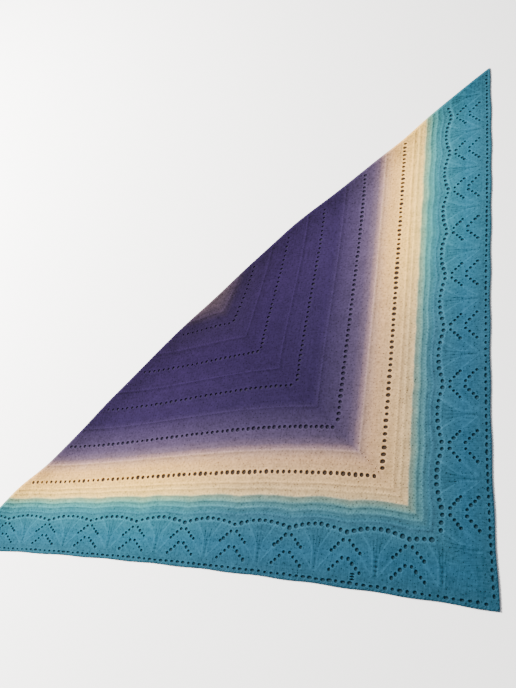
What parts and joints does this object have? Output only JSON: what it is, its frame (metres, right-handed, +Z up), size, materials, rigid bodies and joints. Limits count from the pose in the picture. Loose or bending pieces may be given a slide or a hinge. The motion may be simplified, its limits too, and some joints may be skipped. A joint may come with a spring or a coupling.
{
  "type": "shawl",
  "caption": "Flat triangular hand-knitted lace shawl: garter neck edge, plain middle, ridged band with eyelets and a chevron lace border meeting at a spine.",
  "frame": {"origin": "middle of the shawl's outline, on the surface that it lies on", "axes": "+Z up from the surface, +Y from the point towards the neck edge, X along the neck edge from wing tip to wing tip"},
  "size_m": [1.4484, 0.7848, 0.0024],
  "materials": {
    "neck_edge": "garter-stitch wool edge, matt with a faint fuzz, shading from taupe to blue along its length",
    "body": "fine plain-knitted wool, matt, dark purple fading to lilac",
    "band": "ridged garter bands of fine wool, matt, cream fading to pale green",
    "border": "knitted lace of fine wool, matt, teal fading to deep blue",
    "bind_off": "bound-off edge of fine wool, matt, deep blue"
  },
  "bodies": {
    "root": {"neck_edge_right": "neck_edge", "neck_edge_left": "neck_edge", "body_right": "body", "body_left": "body", "band_right": "band", "band_left": "band", "border_right": "border", "border_left": "border", "bind_off_right": "bind_off", "bind_off_left": "bind_off"}
  },
  "joints": []
}
